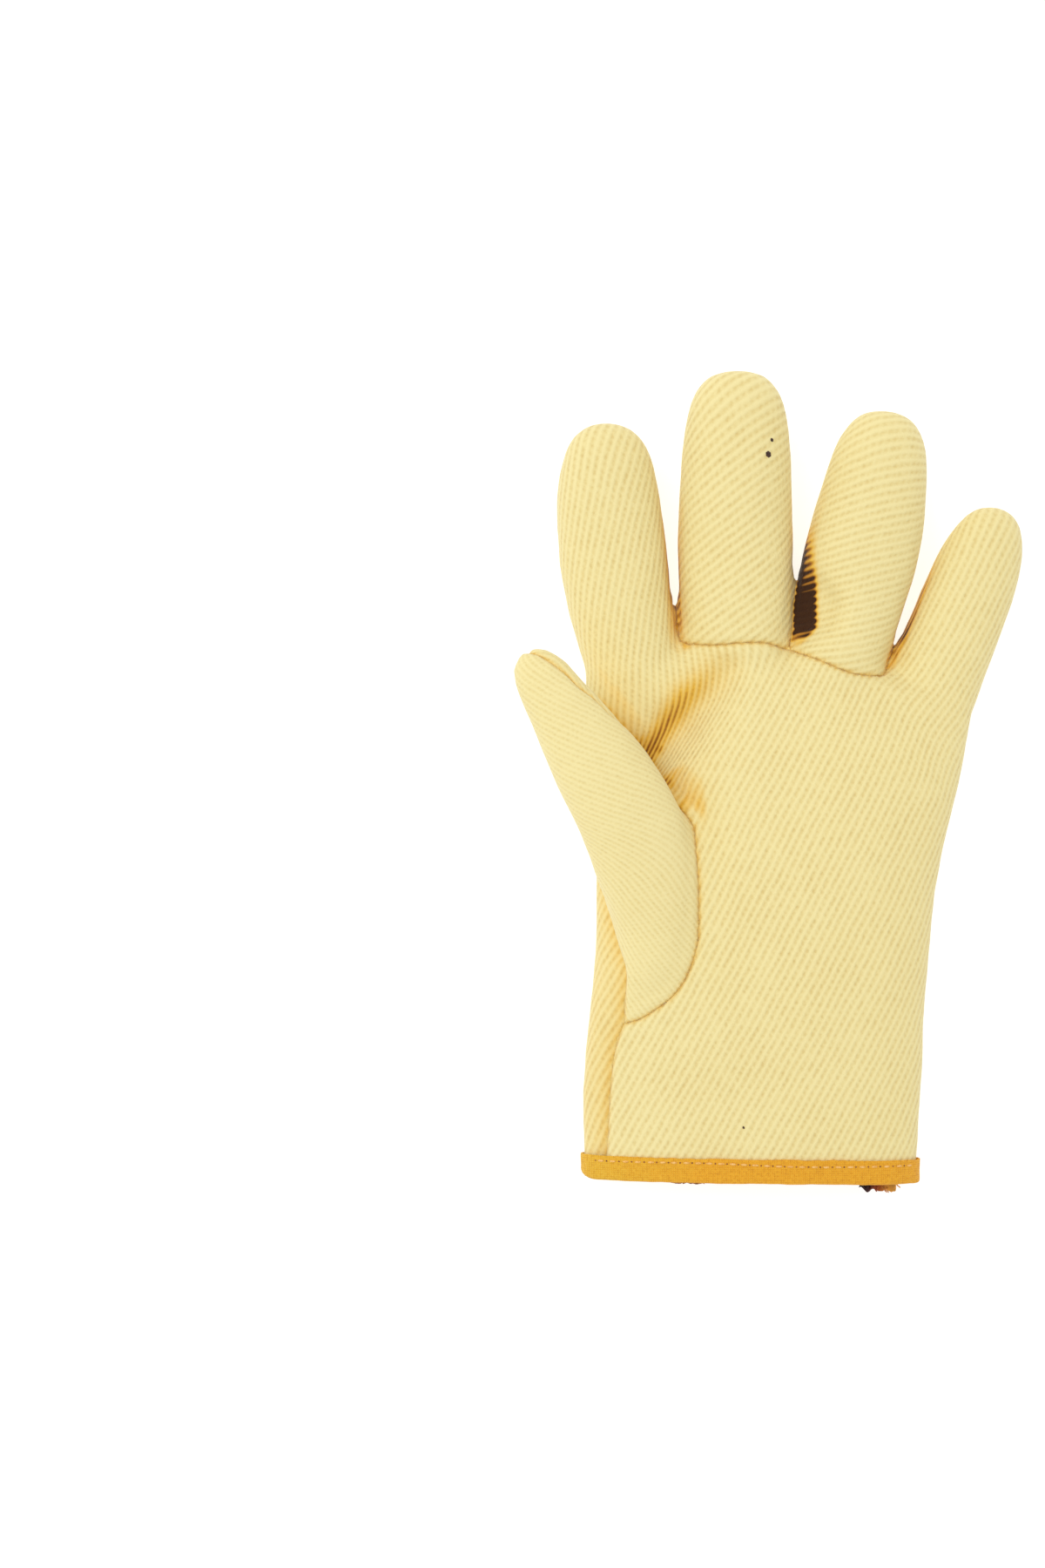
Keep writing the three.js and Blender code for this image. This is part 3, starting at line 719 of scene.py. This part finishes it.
def weave_map(piece, seen_from, angle, period):
    """A UV map with the ribs along V, in metres, stretched so that every panel shares one rib period."""
    laid, lying = cut_flat(piece, seen_from)
    laid = turned_grain(laid, lying, GRAIN_TURNS.get(piece.name.removeprefix("cloth_"), ()))
    turned = laid * np.exp(1j * (math.pi / 2 - math.radians(angle)))
    values = np.stack([turned.real, turned.imag], axis=1) * RIB / period
    piece.data.uv_layers["weave"].uv.foreach_set("vector", values.astype(np.float32).ravel())


def node(tree, kind, settings=(), **inputs):
    """A node of the kind, with its settings, and its inputs set or linked. n0 means its first input."""
    made = tree.nodes.new(kind)
    for name, value in dict(settings).items():
        setattr(made, name, value)
    for name, value in inputs.items():
        numbered = name[0] == "n" and name[1:].isdigit()
        socket = made.inputs[int(name[1:]) if numbered else name.replace("_", " ")]
        if isinstance(value, bpy.types.NodeSocket):
            tree.links.new(value, socket)
        else:
            socket.default_value = value
    return made


def maths(tree, operation, *values):
    """What a sum makes of its values, each a number or a socket."""
    numbered = {f"n{i}": value for i, value in enumerate(values)}
    return node(tree, "ShaderNodeMath", {"operation": operation}, **numbered).outputs[0]


def multiplied(tree, share, one, other):
    """Two colours multiplied, to the share."""
    settings = {"data_type": "RGBA", "blend_type": "MULTIPLY"}
    return node(tree, "ShaderNodeMix", settings, n0=share, n6=one, n7=other).outputs[2]


def waves(tree, direction, place, period, distortion, detail_scale):
    """Slightly wandering bands of the period. A wave texture repeats 10 / pi times for a scale of 1."""
    made = node(tree, "ShaderNodeTexWave", {"bands_direction": direction}, Vector=place)
    made.inputs["Scale"].default_value = math.pi / 10 / period
    made.inputs["Distortion"].default_value = distortion
    made.inputs["Detail"].default_value = 2.0
    made.inputs["Detail Scale"].default_value = detail_scale
    made.inputs["Detail Roughness"].default_value = 0.5
    return made.outputs["Fac"]


def noises(tree, place, scale, detail):
    return node(tree, "ShaderNodeTexNoise", Vector=place, Scale=scale, Detail=detail).outputs["Fac"]


def bumped(tree, shader, height, strength, distance):
    bump = node(tree, "ShaderNodeBump", Strength=strength, Distance=distance, Height=height)
    tree.links.new(bump.outputs["Normal"], shader.inputs["Normal"])


def new_material(name, roughness, sheen):
    """A material, with its node tree and its shader."""
    made = bpy.data.materials.new(name)
    made.use_nodes = True
    shader = made.node_tree.nodes["Principled BSDF"]
    shader.inputs["Roughness"].default_value = roughness
    shader.inputs["Sheen Weight"].default_value = sheen
    return made, made.node_tree, shader


def ramp(tree, factor, stops):
    made = node(tree, "ShaderNodeValToRGB", Fac=factor)
    elements = made.color_ramp.elements
    while len(elements) < len(stops):
        elements.new(0.5)
    for element, (position, colour) in zip(elements, stops):
        element.position = position
        element.color = (*colour, 1)
    return made.outputs["Color"]


def twill(name, plainness):
    """Thick twill: slanting ribs of short floats, with dotted darker furrows between them and a fuzz, and
    painted shade.
    """
    cloth, tree, shader = new_material(name, roughness=0.9, sheen=0.2)
    shader.inputs["Specular IOR Level"].default_value = 0.25
    weave = node(tree, "ShaderNodeUVMap", {"uv_map": "weave"}).outputs["UV"]
    place = node(tree, "ShaderNodeTexCoord").outputs["Object"]
    slant = (0, 0, math.radians(FLOAT_SLANT))
    slanted = node(tree, "ShaderNodeMapping", Vector=weave, Rotation=slant).outputs["Vector"]
    stretch = (1 / SLUB_WIDE, 1 / SLUB_LONG, 1)
    drawn = node(tree, "ShaderNodeMapping", Vector=weave, Scale=stretch).outputs["Vector"]

    ribs = waves(tree, "X", weave, RIB, distortion=1.3, detail_scale=0.5)
    floats = waves(tree, "Y", slanted, FLOAT, distortion=1.8, detail_scale=1.0)
    slubs = noises(tree, drawn, scale=1.0, detail=2.0)
    fuzz = noises(tree, place, scale=1400.0, detail=4.0)
    patches = noises(tree, place, scale=55.0, detail=3.0)

    furrow = maths(tree, "SUBTRACT", 1.0, ribs)
    uneven = maths(tree, "MULTIPLY_ADD", slubs, 1.1, 0.2)
    dots = maths(tree, "MULTIPLY_ADD", floats, -0.26, uneven)
    sunk = maths(tree, "MULTIPLY", furrow, dots)
    height = maths(tree, "MULTIPLY_ADD", sunk, -plainness, 1.0)
    rough = maths(tree, "MULTIPLY_ADD", fuzz, 0.55, height)
    tone = maths(tree, "MULTIPLY_ADD", patches, 0.3, rough)
    shift = maths(tree, "SUBTRACT", tone, 0.4)
    colour = ramp(tree, shift, [(0.0, FURROW), (0.6, MIDTONE), (1.0, RIB_TOP)])

    # Painted shade from the crease attribute, deeper in the furrows: white, then ochre, brown and near black
    crease = node(tree, "ShaderNodeAttribute", {"attribute_name": "crease"}).outputs["Fac"]
    swing = maths(tree, "MULTIPLY_ADD", furrow, 0.42, 0.79)
    ribbed = maths(tree, "MULTIPLY", crease, swing)
    shade = ramp(tree, ribbed, [(0.0, (1, 1, 1)), (0.55, PAINTED_SHADE_OCHRE), (0.8, PAINTED_SHADE_BROWN), (1.0, PAINTED_SHADE_DARKEST)])
    tree.links.new(multiplied(tree, 1.0, colour, shade), shader.inputs["Base Color"])
    bumped(tree, shader, rough, strength=1.0, distance=RIB_RISE)
    return cloth


def cloth_colour(name):
    """A matte material with one of the speckled colours."""
    dark, middle, light, scale = SPECKLES[name]
    made, tree, shader = new_material(name, roughness=0.85, sheen=0.15)
    place = node(tree, "ShaderNodeTexCoord").outputs["Object"]
    grain = noises(tree, place, scale, detail=3.0)
    speckle = ramp(tree, grain, [(0.3, dark), (0.5, middle), (0.72, light)])
    tree.links.new(speckle, shader.inputs["Base Color"])
    bumped(tree, shader, grain, strength=0.6, distance=0.2 * MM)
    return made


def tape_cloth():
    """Plain-woven tape: fine threads both ways, more yellow at the thumb's side and orange at the other."""
    made, tree, shader = new_material("orange tape", roughness=0.85, sheen=0.05)
    place = node(tree, "ShaderNodeTexCoord").outputs["Object"]
    warp = waves(tree, "X", place, TAPE_THREAD, distortion=1.2, detail_scale=0.6)
    weft = waves(tree, "Y", place, TAPE_THREAD, distortion=1.2, detail_scale=0.6)
    woven = maths(tree, "MULTIPLY", warp, weft)
    fuzz = noises(tree, place, scale=900.0, detail=4.0)
    height = maths(tree, "MULTIPLY_ADD", fuzz, 1.2, woven)
    dark, middle, light = TAPE_ORANGE
    grain = ramp(tree, height, [(0.35, dark), (0.65, middle), (1.0, light)])
    along = node(tree, "ShaderNodeSeparateXYZ", Vector=place).outputs["X"]
    patches = noises(tree, place, scale=60.0, detail=2.0)
    drift = maths(tree, "MULTIPLY_ADD", patches, 0.05, along)
    start, end = TAPE_TURNS_ORANGE
    yellow = node(tree, "ShaderNodeMapRange", Value=drift, n1=start, n2=end, n3=1.0, n4=0.0).outputs["Result"]
    tinted = multiplied(tree, yellow, grain, (*TAPE_YELLOWING, 1))
    tree.links.new(tinted, shader.inputs["Base Color"])
    bumped(tree, shader, height, strength=0.7, distance=0.25 * MM)
    return made


def slant_tape(bm, low, high):
    """Lowers the tape's upper edge a little, slants the tape, and rounds its corner by the thumb."""
    for v in bm.verts:
        share = (high.x - v.co.x) / (high.x - low.x)
        up = (v.co.y - low.y) / (high.y - low.y)
        corner = max(1 - (v.co.x - low.x) / TAPE_CORNER, 0) ** 2 * max(1 - up, 0)
        rise = TAPE_SLANT * share + TAPE_CORNER / 2 * corner
        v.co.y = low.y + (high.y - low.y) * TAPE_HEIGHT * up + rise


def hanging_threads(tree, low, high):
    """Routes of a few dark threads that hang below the tape's edge, on the thumb's side of the palm."""
    routes = []
    for i in range(HANGING_THREADS):
        x = HANGING_START + HANGING_PITCH * i
        edge = low.y + TAPE_SLANT * (high.x - x) / (high.x - low.x)
        top = tree.ray_cast(Vector((x, edge + 1.5 * MM, 1)), Vector((0, 0, -1)))[0].z
        route = []
        for step in range(6):
            wave = noise.noise_vector(Vector((3.1 * i, 0.6 * step, 1)))
            place = Vector((x + 0.65 * step * MM, edge - 0.1 * MM, top - 2 * MM))
            route.append(place + Vector((0, 0.35 * wave.y, 0.5 * wave.z)) * MM)
        routes.append(route)
    return routes


def tape_row(tree, low, high):
    """The places of the stitches and holes along the tape's upper edge, on both faces of the glove."""
    centre = (low + high) / 2
    around = []
    for i in range(ROW_LOOKS):
        angle = 2 * math.pi * i / ROW_LOOKS
        ray = Vector((math.cos(angle), 0, math.sin(angle)))
        outside = centre + ray * 200 * MM
        share = (high.x - centre.x - ray.x * (high.x - low.x) / 2) / (high.x - low.x)
        edge = low.y + (high.y - low.y) * TAPE_HEIGHT
        outside.y = edge + TAPE_SLANT * min(max(share, 0), 1) - ROW_DROP
        hit, normal = tree.ray_cast(outside, -ray)[:2]
        if hit:
            around.append((hit, normal))
    stitches, holes = [], []
    ran = 0.0
    for (here, normal), (there, _) in zip(around, around[1:] + around[:1]):
        step = there - here
        ran += step.length
        if ran > ROW_PITCH / 2 and abs(normal.x) < 0.6:
            row = stitches if len(stitches) <= len(holes) else holes
            row.append((here, (step - normal * step.dot(normal)).normalized(), normal))
            ran = 0.0
    return stitches, holes


def bind_cuff():
    """The tape folded over the cuff's edge, the threads that hang from it, and its row of stitches."""
    low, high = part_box("cuff_tape")
    tape = remeshed(object_of("tape", node_bmesh("cuff_tape")), TAPE_STEP)
    bm = bmesh.new()
    bm.from_mesh(tape.data)
    for _ in range(TAPE_SMOOTHING):
        evened(bm, bm.verts)
    slant_tape(bm, low, high)
    for v in bm.verts:
        ripple = 0.22 * noise.noise(v.co * 90) + 0.1 * noise.noise(v.co * 320)
        v.co += v.normal * ripple * MM
        v.co.z = max(v.co.z, 0)
    for face in bm.faces:
        face.smooth = True
    tree = BVHTree.FromBMesh(bm)
    bm.to_mesh(tape.data)
    bm.free()

    stitches, holes = tape_row(tree, low, high)
    threads = strands("edge_threads", hanging_threads(tree, low, high), HANGING_THICK)
    row_stitches = sew("row_stitches", stitches, ROW_STITCH, 0, 0.1 * MM)
    # Dark marks sunk in the row's holes: painted shade
    row_hole_shade = sew("row_hole_shade", holes, ROW_HOLE_SHADE, 0, -0.05 * MM)
    return tape, threads, row_stitches, row_hole_shade


def fray():
    """The frayed end's colours, near black on the palm's middle side to orange; the black is part dark
    thread, part painted shadow.
    """
    made = cloth_colour("frayed threads")
    tree = made.node_tree
    shader = tree.nodes["Principled BSDF"]
    speckle = shader.inputs["Base Color"].links[0].from_socket
    place = node(tree, "ShaderNodeTexCoord").outputs["Object"]
    along = node(tree, "ShaderNodeSeparateXYZ", Vector=place).outputs["X"]
    start, end = DARK_THREAD_AND_SHADOW_SPAN
    share = node(tree, "ShaderNodeMapRange", Value=along, n1=start, n2=end).outputs["Result"]
    black, red = (0.012, 0.008, 0.006), (0.07, 0.008, 0.004)
    rust, orange = (0.5, 0.1, 0.015), (0.85, 0.4, 0.05)
    dark_thread_and_shadow = ramp(tree, share, [(0.1, black), (0.3, red), (0.5, rust), (0.8, orange)])
    tree.links.new(multiplied(tree, 0.6, dark_thread_and_shadow, speckle), shader.inputs["Base Color"])
    return made


def strands(name, routes, thick):
    """Loose threads along routes of points."""
    data = bpy.data.curves.new(name, "CURVE")
    data.dimensions = "3D"
    data.bevel_depth = thick / 2
    data.bevel_resolution = 1
    data.use_fill_caps = True
    for route in routes:
        spline = data.splines.new("POLY")
        spline.points.add(len(route) - 1)
        for point, place in zip(spline.points, route):
            point.co = (*place, 1)
    curve = bpy.data.objects.new(name, data)
    bpy.context.collection.objects.link(curve)
    graph = bpy.context.evaluated_depsgraph_get()
    mesh = bpy.data.meshes.new_from_object(curve.evaluated_get(graph))
    bpy.data.objects.remove(curve)
    made = bpy.data.objects.new(name, mesh)
    bpy.context.collection.objects.link(made)
    return made


def loose_end():
    """The tape's loose end: a ragged stub, and the threads that stand out of it."""
    low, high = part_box("tape_end")
    stub = remeshed(object_of("tape_stub", node_bmesh("tape_end")), STUB_STEP)
    for v in stub.data.vertices:
        ragged = noise.noise_vector(v.co * 420) * 0.9 * MM
        down = smoothstep(-v.co.y, -low.y - 6 * MM, -low.y)
        v.co += ragged * down
        v.co.y += 1.1 * MM * down * (0.6 + noise.noise(Vector((v.co.x * 500, 0, 3))))
        v.co.z = max(v.co.z, 0)
    for face in stub.data.polygons:
        face.use_smooth = True
    routes = []
    for i in range(FRAYED_THREADS):
        x = low.x + (high.x - low.x) * (0.04 + 0.92 * i / (FRAYED_THREADS - 1))
        seed = Vector((7.3 * i, 1.9 * i, 0.7))
        z = low.z + (high.z - low.z) * (0.3 + 0.4 * abs(noise.noise(seed)))
        place = Vector((x, low.y + 3.4 * MM, z))
        route = [place.copy()]
        reach = 2.2 + 1.6 * noise.noise(seed * 1.7)
        for step in range(7):
            turn = noise.noise_vector(seed + Vector((0, 0, step * 0.45)))
            place += Vector((turn.x * 0.75 + 0.12, -reach / 6 + turn.y * 0.25, turn.z * 0.5)) * MM
            place.y = max(place.y, low.y - 0.4 * MM)
            route.append(place.copy())
        routes.append(route)
    return stub, strands("frayed_threads", routes, FRAYED_THICK)


def camera_and_light():
    """The camera over the middle of the photograph's frame, and light from all sides over a white table."""
    data = bpy.data.cameras.new("camera")
    data.sensor_width = SENSOR
    data.lens = SENSOR * CAMERA_HEIGHT / FRAME_HEIGHT
    camera = bpy.data.objects.new("camera", data)
    camera.location = (*FRAME_CENTRE, CAMERA_HEIGHT + OUTLINE_HEIGHT)
    bpy.context.collection.objects.link(camera)
    bpy.context.scene.camera = camera

    world = bpy.data.worlds.new("room")
    world.use_nodes = True
    world.node_tree.nodes["Background"].inputs["Color"].default_value = (1, 1, 1, 1)
    world.node_tree.nodes["Background"].inputs["Strength"].default_value = ROOM_LIGHT
    bpy.context.scene.world = world
    bpy.context.scene.view_settings.view_transform = "Standard"

    lamp = bpy.data.lights.new("softbox", "AREA")
    lamp.shape = "DISK"
    lamp.size = LAMP_WIDTH
    lamp.energy = LAMP_WATTS
    softbox = bpy.data.objects.new("softbox", lamp)
    softbox.location = LAMP_PLACE
    softbox.rotation_euler = (-Vector(LAMP_PLACE)).to_track_quat("-Z", "Y").to_euler()
    bpy.context.collection.objects.link(softbox)


def table():
    """The white table, which glows a little, so that it stays white under the glove."""
    bm = bmesh.new()
    bmesh.ops.create_grid(bm, x_segments=1, y_segments=1, size=TABLE_HALF)
    bmesh.ops.translate(bm, verts=bm.verts, vec=(0, 0, -TABLE_DROP))
    made = object_of("table", bm)
    paper, _, shader = new_material("white paper", roughness=0.9, sheen=0.0)
    shader.inputs["Base Color"].default_value = (TABLE_WHITE, TABLE_WHITE, TABLE_WHITE, 1)
    shader.inputs["Emission Color"].default_value = (1, 1, 1, 1)
    shader.inputs["Emission Strength"].default_value = TABLE_GLOW
    made.data.materials.append(paper)


def dress(piece, material, slot, *nodes):
    """Gives a piece its material, and says what it rides on and which solids it stands for."""
    piece.data.materials.clear()
    piece.data.materials.append(material)
    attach(piece, "root")
    if nodes:
        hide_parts(*nodes)


def finish_panel(name, part):
    """One panel of the skin: its weave, and the thickness of its cloth."""
    piece = object_of("cloth_" + name, part)
    seen_from, angle, period, plainness = PANELS[name]
    weave_map(piece, seen_from, angle, period)
    cloth = twill("twill " + name, plainness)
    wall = piece.modifiers.new("wall", "SOLIDIFY")
    wall.thickness = WALL
    wall.offset = -1
    applied(piece)
    dress(piece, cloth, "twill", name)


camera_and_light()
table()
skin = outer_skin()
label_panels(skin)
smooth_skin(skin)
skin.verts.index_update()
press_folds(skin, seam_distances(skin))
distances = seam_distances(skin)
shape_seams(skin, distances)
shade_folds(skin, distances)
spots = stitch_spots(skin)
flecks = fleck_spots(skin)
for name, part in panels_of(skin).items():
    finish_panel(name, part)

seam_stitches = sew("seam_stitches", spots, STITCH, STITCH_TURN, STITCH_LIFT)
dress(seam_stitches, cloth_colour("cream thread"), "twill")

tape, edge_threads, row_stitches, row_hole_shade = bind_cuff()
orange = cloth_colour("orange thread")
brown = cloth_colour("hole shade and dark thread")
dress(tape, tape_cloth(), "tape", "cuff_tape")
dress(row_stitches, orange, "tape")
dress(row_hole_shade, brown, "tape")
dress(edge_threads, brown, "tape")
stub, threads = loose_end()
frayed = fray()
dress(stub, frayed, "tape", "tape_end")
dress(threads, frayed, "tape")
dress(sew("dark_flecks", flecks, FLECK, 0, 0.05 * MM), cloth_colour("dark flecks"), "twill")
